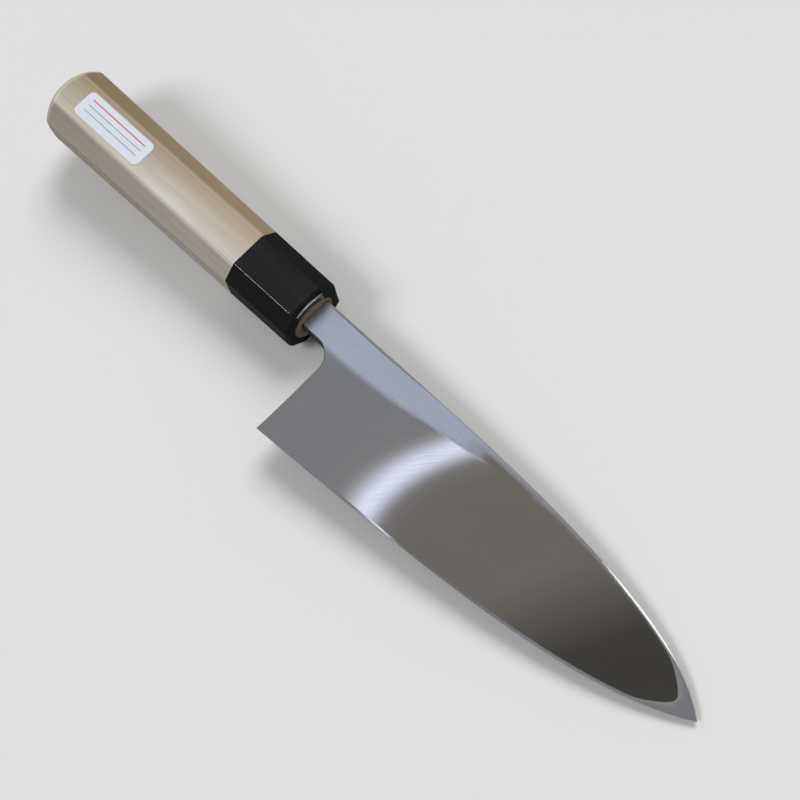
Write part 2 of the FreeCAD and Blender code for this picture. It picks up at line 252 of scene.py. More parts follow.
def makeWood():
    # Colours of sapwood and of heartwood with painted shade, each mixed across Y and then darkened by what
    # lies on them
    values = woodFinish
    finish, tree, shader = newFinish("magnoliaWood")
    x, y, z = spotFrom(tree, knifeOrigin)
    bend, cloud, fibre, pores = (noise(tree, *values[name]) for name in ("bend", "cloud", "fibre", "pores"))

    # Growth rings round the pith, each of which darkens towards its late wood
    pith = (0, -knifeOrigin[1] - values["pithY"] * mm, -knifeOrigin[2] - values["pithZ"] * mm)
    fromPith = places(tree, (0, 1 / mm, 1 / mm), shift=pith)
    away = addNode(tree, "VectorMath", {0: fromPith}, operation="LENGTH").outputs["Value"]
    rings = maths(tree, "ADD", away, ramp(tree, bend, 0, 1, -values["ringWander"], values["ringWander"]))
    wave = maths(tree, "FRACT", maths(tree, "DIVIDE", rings, values["ringPitch"]), 0)
    late = maths(tree, "POWER", wave, values["latePower"])

    # Sapwood over heartwood, whose darker colours also stand as painted shade on the lower facets
    deepButt, deepFront = values["sapDepth"]
    sapButt = handleForm["buttWidth"] / 2 - deepButt
    sapFront = handleForm["frontWidth"] / 2 - deepFront
    stray = ramp(tree, bend, 0, 1, -values["sapWander"], values["sapWander"])
    border = maths(tree, "ADD", ramp(tree, x, buttX, 0, sapButt, sapFront), stray)
    upper = blendColour(tree, ramp(tree, y, *values["upperBlend"]), values["pale"], values["warm"])
    lower = blendColour(tree, ramp(tree, y, *values["lowerBlend"]), values["heartAndShade"], values["brown"])
    below = ramp(tree, maths(tree, "SUBTRACT", z, border), *values["sapBlend"])
    tint = blendColour(tree, below, upper, lower)

    # It darkens towards the butt, and clouds, late wood and fibres darken it
    buttDarkening = ramp(tree, x, buttX, values["buttDarkeningEnd"] * buttX, 1, 0)
    tint = blendColour(tree, buttDarkening, tint, values["buttDarkening"], "MULTIPLY")
    for name, height in (("cloudShade", cloud), ("lateShade", late), ("fibreShade", fibre)):
        tint = blendColour(tree, ramp(tree, height, *values[name]), tint, values["late"], "MULTIPLY")

    # End grain, worn edges that are paler also as a painted highlight, and the tenon that was scorched when
    # the tang was burnt in
    normal = tree.nodes.new("ShaderNodeNewGeometry").outputs["True Normal"]
    across = maths(tree, "ABSOLUTE", addNode(tree, "SeparateXYZ", {0: normal}).outputs[0], 0)
    cut = ramp(tree, across, *values["endFacing"])
    cut = maths(tree, "MULTIPLY", cut, ramp(tree, pores, *values["endPores"]))
    tint = blendColour(tree, cut, tint, values["endGrain"])
    worn = maths(tree, "MULTIPLY", layerOf(tree, "wear"), values["wearAndHighlightShare"])
    tint = blendColour(tree, worn, tint, values["worn"])
    scorch = maths(tree, "GREATER_THAN", x, hornBackX + values["burntFrom"])
    scorch = maths(tree, "MULTIPLY", scorch, ramp(tree, pores, *values["burntPores"]))
    tint = blendColour(tree, scorch, tint, values["burnt"])
    feed(tree, shader, {
        "Base Color": tint,
        "Roughness": ramp(tree, fibre, *values["gloss"]),
        "Specular IOR Level": values["specular"],
        "Normal": relief(tree, maths(tree, "ADD", fibre, late), values["fibreDepth"]),
    })
    return finish


# Polished black buffalo horn

hornFinish = {
    "black": (0.0028, 0.0028, 0.0032, 1), "grey": (0.011, 0.011, 0.0125, 1),
    "layers": ((45, 260, 260), 4.0, 0.6, 0.8), "layerShade": (0.35, 0.75, 0, 1),
    "flecks": ((180, 1100, 1100), 3.0, 0.65), "fleckShade": (0.3, 0.7, 0.25, 1.0),
    "marks": ((2200, 130, 700), 3.0, 0.6, 0.0, 18.0), "gloss": (0.3, 0.75, 0.12, 0.24),
    "wornGloss": 0.08,  # roughness that wear takes off
    "ior": 1.55,
    "markDepth": 0.0003,  # mm
}


def makeHorn():
    # Black, greyer where layers and flecks meet, with fine marks that roughen the polish
    values = hornFinish
    finish, tree, shader = newFinish("blackHorn")
    layers, flecks, marks = (noise(tree, *values[name]) for name in ("layers", "flecks", "marks"))
    shade = ramp(tree, layers, *values["layerShade"])
    shade = maths(tree, "MULTIPLY", shade, ramp(tree, flecks, *values["fleckShade"]))
    worn = maths(tree, "MULTIPLY", layerOf(tree, "wear"), values["wornGloss"])
    feed(tree, shader, {
        "Base Color": blendColour(tree, shade, values["black"], values["grey"]),
        "Roughness": maths(tree, "SUBTRACT", ramp(tree, marks, *values["gloss"]), worn),
        "IOR": values["ior"],
        "Normal": relief(tree, marks, values["markDepth"]),
    })
    return finish


# Steel and iron of the blade

metalGrain = {
    "lineNoise": (3.0, 0.6), "patchNoise": ((60, 60, 60), 3.0, 0.55), "lineShare": 0.7,
    "tintRamp": (0.32, 0.68, 0, 1), "roughFrom": (0.3, 0.7),
}
metalFinishes = {
    "steelFlat": {
        # Its worn colour is the burnished line round the hollow's end, lighter also as a painted reflection
        "bright": (0.76, 0.785, 0.83, 1), "dull": (0.66, 0.685, 0.73, 1), "worn": (0.92, 0.93, 0.94, 1),
        "rough": (0.27, 0.36), "lines": (60, 3000, 3000), "turn": 4.0, "depth": 0.0005,
        "rimShade": (0.57, 0.57, 0.57, 1), "rimBelow": -22.0, "rimSpan": (95.0, 165.0),  # painted shade on the edge rim, full up to the first x of rimSpan and none past the second, mm
        "bandReflectionTint": (0.93, 0.985, 1.11, 1), "bandSpan": (75.0, 115.0),  # bluish painted reflection on the band, fading out over bandSpan, mm
        "haze": (0.08, 0.31),  # share of the light that is scattered, on the rims and on the band
    },
    "steelHollow": {
        "bright": (0.58, 0.575, 0.565, 1), "dull": (0.52, 0.515, 0.505, 1),
        "rough": (0.03, 0.055), "lines": (60, 3000, 3000), "turn": -52.0, "depth": 0.00003,
    },
    "steelBevel": {
        "bright": (0.66, 0.665, 0.67, 1), "dull": (0.58, 0.585, 0.59, 1),
        "rough": (0.10, 0.18), "lines": (2600, 80, 80), "turn": 8.0, "depth": 0.0004,
    },
    "steelArris": {
        "bright": (0.70, 0.70, 0.69, 1), "dull": (0.60, 0.60, 0.585, 1),
        "rough": (0.16, 0.20), "lines": (90, 90, 2600), "turn": 0.0, "depth": 0.00002,
    },
    "ironFlat": {
        "bright": (0.56, 0.56, 0.56, 1), "dull": (0.46, 0.46, 0.455, 1),
        "rough": (0.26, 0.38), "lines": (50, 2400, 2400), "turn": 0.0, "depth": 0.0008,
    },
    "ironBevel": {
        "bright": (0.50, 0.50, 0.495, 1), "dull": (0.40, 0.40, 0.395, 1),
        "rough": (0.42, 0.55), "lines": (2100, 70, 70), "turn": 8.0, "depth": 0.0012,
    },
    "ironArris": {
        "bright": (0.58, 0.58, 0.57, 1), "dull": (0.46, 0.46, 0.45, 1),
        "rough": (0.28, 0.40), "lines": (80, 80, 2400), "turn": 0.0, "depth": 0.0008,
    },
}


def metalLook(tree, values):
    # Stone and wheel lines: noise drawn out along one direction, with slow patches over it
    lines = noise(tree, values["lines"], *metalGrain["lineNoise"], turn=values["turn"])
    patches = noise(tree, *metalGrain["patchNoise"])
    share = metalGrain["lineShare"]
    lineHeight = maths(tree, "MULTIPLY", lines, share)
    both = maths(tree, "ADD", lineHeight, maths(tree, "MULTIPLY", patches, 1 - share))
    tint = blendColour(tree, ramp(tree, both, *metalGrain["tintRamp"]), values["bright"], values["dull"])
    rough = ramp(tree, both, *metalGrain["roughFrom"], *values["rough"])
    return tint, rough, relief(tree, lines, values["depth"])


def makeMetal(name):
    # Bare metal with one kind of line
    finish, tree, shader = newFinish(name)
    tint, rough, normal = metalLook(tree, metalFinishes[name])
    feed(tree, shader, {"Base Color": tint, "Metallic": 1.0, "Roughness": rough, "Normal": normal})
    return finish


def makeFace():
    # Flat and hollow of the hard steel, which run into each other where the layer "ground" rises
    values = metalFinishes["steelFlat"]
    finish, tree, shader = newFinish("steelFace")
    flatTint, flatRough, flatNormal = metalLook(tree, values)
    hollowTint, hollowRough, hollowNormal = metalLook(tree, metalFinishes["steelHollow"])
    # Burnished line round the hollow's end, lightened also as a painted reflection
    flatTint = blendColour(tree, layerOf(tree, "wear"), flatTint, values["worn"])
    x, y, _ = spotFrom(tree, knifeOrigin)
    atEdge = maths(tree, "LESS_THAN", y, values["rimBelow"])
    # Painted shade: the edge rim is darkened, fully up to rimSpan's start and not at all past its end
    paintedRimShade = maths(tree, "MULTIPLY", atEdge, ramp(tree, x, *values["rimSpan"], 1, 0))
    flatTint = blendColour(tree, paintedRimShade, flatTint, values["rimShade"], "MULTIPLY")
    # Painted reflection: the band, away from the edge, is tinted bluish
    cool = ramp(tree, x, *values["bandSpan"], 1, 0)
    cool = maths(tree, "MULTIPLY", cool, maths(tree, "SUBTRACT", 1.0, atEdge))
    flatTint = blendColour(tree, cool, flatTint, values["bandReflectionTint"], "MULTIPLY")
    ground = layerOf(tree, "ground")
    rimHaze, bandHaze = values["haze"]
    flatMetal = ramp(tree, cool, 0, 1, 1 - rimHaze, 1 - bandHaze)
    feed(tree, shader, {
        "Base Color": blendColour(tree, ground, flatTint, hollowTint),
        "Metallic": ramp(tree, ground, 0, 1, flatMetal, 1.0),
        "Roughness": ramp(tree, ground, 0, 1, flatRough, hollowRough),
        "Normal": blendColour(tree, ground, flatNormal, hollowNormal),
    })
    return finish


# Dark resin in the mouth of the handle

resinFinish = {
    "black": (0.018, 0.012, 0.009, 1), "brown": (0.055, 0.032, 0.02, 1),
    "grain": ((900, 900, 900), 4.0, 0.65), "shade": (0.35, 0.65, 0, 1), "gloss": (0.3, 0.7, 0.38, 0.62),
    "depth": 0.05,  # mm
}


def makeResin():
    # One grain gives colour, gloss and height
    values = resinFinish
    finish, tree, shader = newFinish("darkResin")
    grain = noise(tree, *values["grain"])
    shade = ramp(tree, grain, *values["shade"])
    feed(tree, shader, {
        "Base Color": blendColour(tree, shade, values["black"], values["brown"]),
        "Roughness": ramp(tree, grain, *values["gloss"]),
        "Normal": relief(tree, grain, values["depth"]),
    })
    return finish


# Coated white paper with ruled lines

paperFinish = {
    "white": (0.79, 0.84, 0.93, 1), "fibre": (0.76, 0.80, 0.88, 1),
    "red": (0.62, 0.05, 0.06, 1), "grey": (0.16, 0.17, 0.18, 1),
    "rules": [(2.8, 0.5, "red"), (0.3, 0.3, "grey"), (-2.2, 0.3, "grey")],  # mm from the middle, mm wide
    "ruleEnds": 14.4,  # mm from the middle to a rule's end
    "fibres": ((700, 2600, 2600), 4.0, 0.6), "fibreShade": (0.35, 0.7, 0, 1),
    "ink": ((5200, 5200, 5200), 2.0, 0.6), "inkShade": (0.3, 0.55, 0.55, 0.95),
    "gloss": (0.3, 0.7, 0.34, 0.46),
    "depth": 0.004,  # mm
}


def makePaper():
    # Fibres all over, and a rule where |y - height| is less than half its width
    values = paperFinish
    finish, tree, shader = newFinish("whitePaper")
    x, y, _ = spotFrom(tree, (paperLow + paperHigh) / 2)
    fibres, ink = (noise(tree, *values[name]) for name in ("fibres", "ink"))
    tint = blendColour(tree, ramp(tree, fibres, *values["fibreShade"]), values["white"], values["fibre"])
    within = maths(tree, "LESS_THAN", maths(tree, "ABSOLUTE", x, 0), values["ruleEnds"])
    for height, width, colour in values["rules"]:
        away = maths(tree, "ABSOLUTE", maths(tree, "SUBTRACT", y, height), 0)
        line = maths(tree, "MULTIPLY", maths(tree, "LESS_THAN", away, width / 2), within)
        line = maths(tree, "MULTIPLY", line, ramp(tree, ink, *values["inkShade"]))
        tint = blendColour(tree, line, tint, values[colour])
    feed(tree, shader, {
        "Base Color": tint,
        "Roughness": ramp(tree, fibres, *values["gloss"]),
        "Normal": relief(tree, fibres, values["depth"]),
    })
    return finish


# Handle: rounded octagon, domed butt, round tenon and the socket for the tang

handleForm = {
    "buttHeight": 28.32, "buttWidth": 26.0, "buttBevel": 6.65,
    "frontHeight": 25.37, "frontWidth": 23.37, "frontBevel": 5.6,
    "facetRound": 0.5, "dome": 20.0, "buttRound": 2.6,
    "tenonRadius": 9.2, "tenonRound": 0.3,
    "socketGap": 0.1, "sealGap": 0.45, "neckInside": 6.0,
    "slotPower": 10,  # the higher, the sharper the corners of the slot for the neck
    "planing": 0.03, "planingWaves": (17.0, 41.0),  # mm that the facets dip, and lengths of the waves
    "planingTurns": 5.0, "planingShift": 1.3,  # how the first wave goes round, and where the second starts
    "rimWearAndHighlight": 0.55, "facetWearAndHighlight": 0.3,  # wear on the butt's rim and on the edges between facets, which the wood also shows paler as a painted highlight
    "arcPoints": 5, "flatShares": (0.03, 0.12, 0.31, 0.5, 0.69, 0.88, 0.97),  # points round a facet
    "domeShares": (0, 0.06, 0.15, 0.28, 0.42, 0.56, 0.7, 0.82, 0.92, 0.98, 1.0),  # rings on the dome
    "rimRings": 7, "sideRings": 47,
}
roundSteps = np.radians(np.linspace(0, 90, 5))  # angles on a small rounding


def octagonRing(name):
    # Facet k faces 45k degrees. Its corners are arcs that touch both neighbours, with flats between.
    rounding = handleForm["facetRound"]
    a, b = handleForm[name + "Height"] / 2, handleForm[name + "Width"] / 2
    slant = (a + b - handleForm[name + "Bevel"]) / math.sqrt(2)
    support = np.array([a, slant, b, slant] * 2) - rounding
    turn = np.radians(45 * np.arange(8))
    eighth = math.radians(45)
    along = (np.roll(support, -1) - support * math.cos(eighth)) / math.sin(eighth)
    outward = np.stack([np.cos(turn), np.sin(turn)], axis=1)
    sideways = np.stack([-np.sin(turn), np.cos(turn)], axis=1)
    centre = support[:, None] * outward + along[:, None] * sideways
    sweep = turn[:, None] + np.linspace(0, eighth, handleForm["arcPoints"])
    arcs = centre[:, None] + rounding * np.stack([np.cos(sweep), np.sin(sweep)], axis=-1)
    share = np.array(handleForm["flatShares"])[:, None]
    start, end = arcs[:, -1:], np.roll(arcs[:, :1], -1, axis=0)
    flats = start * (1 - share) + end * share
    return np.concatenate([arcs, flats], axis=1).reshape(-1, 2)


buttRing = octagonRing("butt")
frontRing = octagonRing("front")
ringCount = len(buttRing)
ringTurn = np.arctan2(frontRing[:, 1], frontRing[:, 0])
ringAround = np.stack([np.cos(ringTurn), np.sin(ringTurn)], axis=1)
onArc = np.tile(np.arange(ringCount // 8) < handleForm["arcPoints"], 8)


def gripRing(x):
    # Octagon at each x: both ends are alike, so every point runs straight from butt to front
    share = (np.asarray(x)[..., None] - buttX) / -buttX
    return buttRing + (frontRing - buttRing) * share


def asRings(x, plan):
    # Joins x, one value for a ring or one for each point, with the ring's Y and Z
    x = np.broadcast_to(np.asarray(x, float)[..., None], plan.shape[:-1] + (1,))
    return np.concatenate([x, plan], axis=-1)


def slotRing(tall, thick, middle):
    # Rounded rectangle round the neck: |y/tall|^power + |z/thick|^power = 1
    power = handleForm["slotPower"]
    reach = np.abs(ringAround[:, 0] / tall) ** power + np.abs(ringAround[:, 1] / thick) ** power
    return ringAround * (reach ** (-1 / power))[:, None] + np.array([middle, 0])


def buttRings():
    # Sphere of the dome, then an arc that touches the sphere and the side; both in the plane
    # through the axis and each point of the ring
    dome, rounding = handleForm["dome"], handleForm["buttRound"]
    rimX = np.full(ringCount, buttX + rounding)
    for step in range(4):  # the side tapers, so the rim is found where the arc meets it
        rim = gripRing(rimX)
        reach = np.linalg.norm(rim, axis=1)
        arcReach = reach - rounding
        rimX = buttX + dome - np.sqrt((dome - rounding) ** 2 - arcReach**2)
    away = rim / reach[:, None]
    lean = np.arcsin(arcReach / (dome - rounding))
    domeReach = np.array(handleForm["domeShares"])[:, None] * dome * np.sin(lean)
    domeX = buttX + dome - np.sqrt(dome**2 - domeReach**2)
    sweep = lean + (math.pi / 2 - lean) * np.linspace(0, 1, handleForm["rimRings"] + 1)[1:, None]
    roundReach = arcReach + rounding * np.sin(sweep)
    roundX = rimX - rounding * np.cos(sweep)
    reach = np.concatenate([domeReach, roundReach])
    return asRings(np.concatenate([domeX, roundX]), away * reach[..., None]), rimX


def makeHandle(finish):
    # Stack of rings from the butt along the side to the tenon, and back inside the socket
    butt, rimX = buttRings()

    # Side: the facets dip by 1/2 + 1/2 sin(x / first + turns * angle) sin(x / second + shift)
    share = np.linspace(0, 1, handleForm["sideRings"] + 1)[1:, None]
    sideX = rimX + (hornBackX - rimX) * share
    side = gripRing(sideX)
    first, second = handleForm["planingWaves"]
    wave = np.sin(sideX / first + handleForm["planingTurns"] * ringTurn)
    dip = 0.5 + 0.5 * wave * np.sin(sideX / second + handleForm["planingShift"])
    ends = np.sin(math.pi * share)  # planing marks fade out at both ends
    shrink = 1 - handleForm["planing"] * dip * ends / np.linalg.norm(side, axis=-1)
    side = asRings(sideX, side * shrink[..., None])

    # Tenon, then the socket from its mouth to its end
    radius, rounding = handleForm["tenonRadius"], handleForm["tenonRound"]
    tenonReach = np.concatenate([[radius, radius], radius - rounding + rounding * np.cos(roundSteps)])
    tenonEndX = tenonX - rounding + rounding * np.sin(roundSteps)
    tenonRingX = np.concatenate([[hornBackX, hornBackX / 2], tenonEndX])
    tenon = asRings(tenonRingX[:, None], tenonReach[:, None, None] * ringAround)
    seal, gap = handleForm["sealGap"], handleForm["socketGap"]
    mouth = slotRing(neckTall + seal, neckHalf + seal, neckMiddle)
    throat = slotRing(neckTall + gap, neckHalf + gap, neckMiddle)
    deep = slotRing(tangForm["endTall"] / 2 + gap, tangForm["endThick"] / 2 + gap, 0)
    between = (tenon[-1, :, 1:] + mouth) / 2
    inside = [
        (tenonX, between), (tenonX, mouth), (sealX, mouth), (sealX, throat),
        (-handleForm["neckInside"], throat), (tangEndX - gap, deep), (tangEndX - gap, deep * 0),
    ]
    socket = np.stack([asRings(x, plan) for x, plan in inside])

    rings = np.concatenate([butt, side, tenon, socket])
    wear = np.zeros(rings.shape[:2])
    # Wear and painted highlight: paler wood on the butt's rim and on the facets' edges
    wear[len(butt) - handleForm["rimRings"]:len(butt) - 1] = handleForm["rimWearAndHighlight"]
    wear[len(butt):len(butt) + len(side)] = onArc * handleForm["facetWearAndHighlight"]
    faces = tubeFaces(len(rings), ringCount, False)
    return makePiece("handleWood", rings.reshape(-1, 3), faces, [finish], "handle",
                     layers={"wear": wear})


# Ferrule: octagonal horn ring on the tenon, flush with the handle

ferruleForm = {
    "chamfer": (1.4, 0.8),  # mm along and across the horn
    "chamferPower": 1.06,  # softens the chamfer's edges, where 1 is flat and 2 is round
    "boreGap": 0.05, "boreRound": 0.35,
    "sideRings": 14, "chamferTurns": (10, 20, 32, 45, 58, 70, 80, 90), "faceShares": (0.08, 0.5, 0.92),
}


def makeFerrule(finish):
    # Outer octagon, chamfered front rim, front face, rounded bore mouth, bore and back face. The
    # chamfer follows |u|^p + |v|^p = 1.
    long, deep = ferruleForm["chamfer"]
    lip = ferruleForm["boreRound"]
    bore = handleForm["tenonRadius"] + ferruleForm["boreGap"]
    front = gripRing(-long)
    reach = np.linalg.norm(front, axis=1)
    away = front / reach[:, None]
    outerX = np.linspace(hornBackX, -long, ferruleForm["sideRings"])[:, None]
    outer = asRings(outerX, gripRing(outerX))
    sweep = np.radians(ferruleForm["chamferTurns"])[:, None]
    power = 2 / ferruleForm["chamferPower"]
    rimReach = reach - deep + deep * np.cos(sweep) ** power
    rim = asRings(-long + long * np.sin(sweep) ** power, away * rimReach[..., None])
    share = np.array(ferruleForm["faceShares"])[:, None]
    faceReach = (reach - deep) * (1 - share) + (bore + lip) * share
    face = asRings(0, away * faceReach[..., None])
    lipReach = bore + lip - lip * np.sin(roundSteps)
    lipX = lip * np.cos(roundSteps) - lip
    mouth = asRings(lipX[:, None], away * lipReach[:, None, None])
    back = asRings(hornBackX, (away * bore)[None])
    rings = np.concatenate([outer, rim, face, mouth, back])
    wear = np.zeros(rings.shape[:2])
    wear[:len(outer)] = onArc
    wear[len(outer):len(outer) + len(rim)] = 1.0
    faces = tubeFaces(len(rings), ringCount, True)
    return makePiece("ferruleHorn", rings.reshape(-1, 3), faces, [finish], "ferrule",
                     layers={"wear": wear}, sharpAngle=50)


# Blade: plan grid with columns along X and rows from the edge to the spine. The neck's columns
# have only the rows from the heel's inside corner up, so the grid is L-shaped.

bladeForm = {
    "heelX": 16.0, "machiRound": 8.0, "neckUnder": -5.3, "tipY": -15.0,
    "spineStraight": 42.0, "spineEase": 55.0, "noseReach": 23.5,
    "edgeEase": 113.0, "edgeLift": 5.6, "bellyReach": 28.7, "bellyDrop": 16.3,
    "bevelRun": 3.0,  # mm across for each mm of thickness
    "tipThickness": 2.2,
    "wheel": 320.0, "spineRim": 1.1, "edgeRim": 1.0, "tipRim": 9.5, "hollowClose": 13.0,
    "endFall": 0.024, "burnishAndSheen": 0.03,  # slope at the hollow's end, and mm of fall that are burnished and also lightened as a painted reflection
    "burnishAndSheenSpan": (1.0, 10.0),  # mm past the start of the hollow's closing, where that sets in
    "bandDepth": 12.1, "bandLength": 116.0, "bandPower": 1.5,
    "bandSoft": (3.0, 0.4), "softSpan": (40.0, 72.0),  # mm of its border, and where that narrows
    "bandEnd": (72.0, 86.0), "edgeEnd": (85.0, 130.0),  # where polish takes in the band and leaves the rim
    "polishSoft": 1.5, "polishDepth": 0.004,  # mm across, and mm deep, in which the polish sets in
    "arris": 0.28, "arrisDrop": 0.13,  # mm taken off along the outline's edges
    "spineChamfer": 0.8, "chamferSpan": (24.8, 62.0),  # wider on the spine, next to the neck
    "noseChamfer": 0.5, "noseSpan": (128.0, 150.0, 166.0, 182.0),  # and again towards the tip
    "noseLoss": 0.8,  # share of it that is gone at the tip
    "chamferSlope": 0.33, "pointRun": 3.0,  # mm down for each mm of width; mm in which it ends at the point
    "chamferLimit": 0.4,  # of the thickness
    "forgeWave": 0.3, "forgeFade": (8.0, 25.0),  # mm that the weld line wanders, and mm in which that fades
    "forgeWaves": ((0.6, 7.3, 0.0), (0.4, 17.0, 1.1)),  # share, length in mm and start of each wave
}
# Where the grid's rows and columns lie: mm, counts, or shares of the room there is
gridForm = {
    "neckColumns": 6, "cornerColumns": 13, "bodyColumns": 76, "closeColumns": 19, "tipColumns": 12,
    "tangColumns": 14, "ironColumns": 84, "curvePoints": 1500,
    "cornerRows": 9,  # rows above the heel's inside corner that move with its rounding
    "innerRow": 0.25, "innerShare": 0.4,  # from the hollow's border to the next row
    "endSpread": (0.08, 0.35),  # of the blade's height, past the hollow's end and at the tip
    "neckBorder": 4.0,  # of the band's border above the neck's underside
    "shoulder": 2.2, "steelShoulder": 0.97, "ironShoulder": 0.5,  # from the spine to the last row but one
    "spineRoom": 0.95, "weldRoom": 0.6, "ridgeRoom": 0.85,
}
tangForm = {"endTall": 6.0, "endThick": 3.4, "start": -6.0}
heelX, machi, neckUnder = bladeForm["heelX"], bladeForm["machiRound"], bladeForm["neckUnder"]
arcX, arcY = heelX - machi, neckUnder - machi
neckHalf = (faceZ - backZ) / 2
neckMiddle = (spineY + neckUnder) / 2
neckTall = (spineY - neckUnder) / 2
taperRate = (faceZ - backZ - bladeForm["tipThickness"]) / (tipX - heelX)
ironEndX = heelX + (layerZ - backZ) / taperRate
hollowEndX = tipX - bladeForm["tipRim"]
hollowCloseX = hollowEndX - bladeForm["hollowClose"]


def bezier(poles):
    # Cubic curve through the first and last pole
    t = np.linspace(0, 1, gridForm["curvePoints"])[:, None]
    poles = np.array(poles)
    weights = [(1 - t) ** 3, 3 * t * (1 - t) ** 2, 3 * t**2 * (1 - t), t**3]
    return sum(weight * pole for weight, pole in zip(weights, poles)).T


spineCurve = bezier([
    (bladeForm["spineStraight"], spineY), (bladeForm["spineStraight"] + bladeForm["spineEase"], spineY),
    (tipX - bladeForm["noseReach"], spineY), (tipX, bladeForm["tipY"]),
])
edgeCurve = bezier([
    (heelX, heelY), (heelX + bladeForm["edgeEase"], heelY + bladeForm["edgeLift"]),
    (tipX - bladeForm["bellyReach"], bladeForm["tipY"] - bladeForm["bellyDrop"]), (tipX, bladeForm["tipY"]),
])


def tangShare(x):
    # 0 on the blade and 1 at the tang's end, rising evenly along the tang
    return np.clip((x - tangForm["start"]) / (tangEndX - tangForm["start"]), 0, 1)


def spineAt(x):
    # Y of the spine, which tapers along the tang
    share = tangShare(x)
    return np.interp(x, *spineCurve) * (1 - share) + tangForm["endTall"] / 2 * share


def edgeAt(x):
    # Y of the cutting edge
    return np.interp(x, *edgeCurve)


def underAt(x):
    # Neck's underside and the quarter circle down to the heel
    share = tangShare(x)
    curve = arcY + np.sqrt(np.clip(machi**2 - np.clip(x - arcX, 0, machi) ** 2, 0, None))
    return curve * (1 - share) - tangForm["endTall"] / 2 * share


def weldZ(x):
    # Height of the forge weld, which wanders in two waves along the blade
    near, far = bladeForm["forgeFade"]
    fade = smoothStep(heelX, heelX + near, x) * (1 - smoothStep(ironEndX - far, ironEndX - near, x))
    wander = sum(share * np.sin(x / length + start) for share, length, start in bladeForm["forgeWaves"])
    return layerZ - bladeForm["forgeWave"] * wander * fade / bladeForm["bevelRun"]


def weldLine(x):
    # Y at which the bevel reaches the weld
    return edgeAt(x) + bladeForm["bevelRun"] * (faceZ - weldZ(x))


def backAt(x):
    # Flat of the bevelled side, which thins steadily from the heel to the tip
    share = tangShare(x)
    flat = backZ + taperRate * np.clip(x - heelX, 0, None)
    return flat * (1 - share) - tangForm["endThick"] / 2 * share


def bevelAt(x, y):
    # Height of the bevel, a plane that starts from the edge
    return faceZ - (y - edgeAt(x)) / bladeForm["bevelRun"]


def hollowSpan(x):
    # Middle and half height of the hollow, which closes in half an ellipse behind the tip. The band
    # above it runs out into the spine's rim as (1 - (x / length)^2)^power.
    rim = bladeForm["spineRim"]
    share = np.clip(1 - (np.clip(x, 0, None) / bladeForm["bandLength"]) ** 2, 0, 1)
    top = spineAt(x) - rim - (bladeForm["bandDepth"] - rim) * share ** bladeForm["bandPower"]
    bottom = edgeAt(x) + bladeForm["edgeRim"]
    run = np.clip((x - hollowCloseX) / bladeForm["hollowClose"], 0, 1)
    half = (top - bottom) / 2 * np.sqrt(1 - run**2)
    return (top + bottom) / 2, half


def hollowDepth(x, y):
    # Arc of the wheel between the borders: (half^2 - d^2) / 2R. It is below zero outside them, and
    # falls on past the rounded end.
    middle, half = hollowSpan(x)
    past = np.clip(x - hollowEndX, 0, None)
    return (half**2 - (y - middle) ** 2) / (2 * bladeForm["wheel"]) - bladeForm["endFall"] * past


def hollowShare(x, y):
    # 0 on the flats and 1 in the hollow, in a soft step under the band and a short one elsewhere. The
    # polish goes on over the band's last stretch up to the spine's rim, and over the heel's edge rim.
    middle, half = hollowSpan(x)
    wide, narrow = bladeForm["bandSoft"]
    soft = wide + (narrow - wide) * smoothStep(*bladeForm["softSpan"], x)
    inside = smoothStep(0, soft, middle + half - y)
    inside = inside * smoothStep(0, bladeForm["polishDepth"], hollowDepth(x, y))
    upper = smoothStep(0, bladeForm["polishSoft"], spineAt(x) - bladeForm["spineRim"] - y)
    upper = upper * smoothStep(*bladeForm["bandEnd"], x)
    upper = upper * (y > middle) * (x < bladeForm["bandLength"])
    lower = (1 - smoothStep(*bladeForm["edgeEnd"], x)) * (y < middle)
    return np.maximum(inside, np.maximum(upper, lower))


def rowsBetween(keys):
    # Y of each grid point, in even steps between key rows given as (row, heights along the columns)
    rows = np.array([row for row, line in keys])
    heights = np.array([line for row, line in keys])
    wanted = np.arange(rows[-1] + 1)
    span = np.clip(np.searchsorted(rows, wanted, side="right") - 1, 0, len(rows) - 2)
    share = ((wanted - rows[span]) / (rows[span + 1] - rows[span]))[:, None]
    return (heights[span] * (1 - share) + heights[span + 1] * share).T


def bladePlan(columns, keys, heelRow, inset, spineInset):
    # Plan of the grid with its outline moved in, except along the edge. The rows above the heel's
    # inside corner go along with it, each a little less.
    y = rowsBetween(keys)
    x = np.repeat(columns[:, None], y.shape[1], axis=1)
    heel = np.argmax(columns >= heelX)
    thin = np.clip((y[heel, :heelRow + 1] - y[heel, 0]) / bladeForm["bevelRun"], 0, 1)
    x[heel, :heelRow + 1] += inset * thin
    outX = np.clip(columns[:heel + 1] - arcX, 0, machi) / machi
    outY = np.sqrt(1 - outX**2)
    x[:heel, heelRow] += inset * outX[:heel]
    y[:heel, heelRow] += inset * outY[:heel]
    follow = np.clip(1 - np.arange(1, y.shape[1] - heelRow) / gridForm["cornerRows"], 0, 1)
    x[:heel + 1, heelRow + 1:] += inset * outX[:, None] * follow
    room = np.clip((y[:, -1] - y[:, -2]) * gridForm["spineRoom"], 0, None)
    y[:, -1] -= np.minimum(spineInset, room)
    return x, y


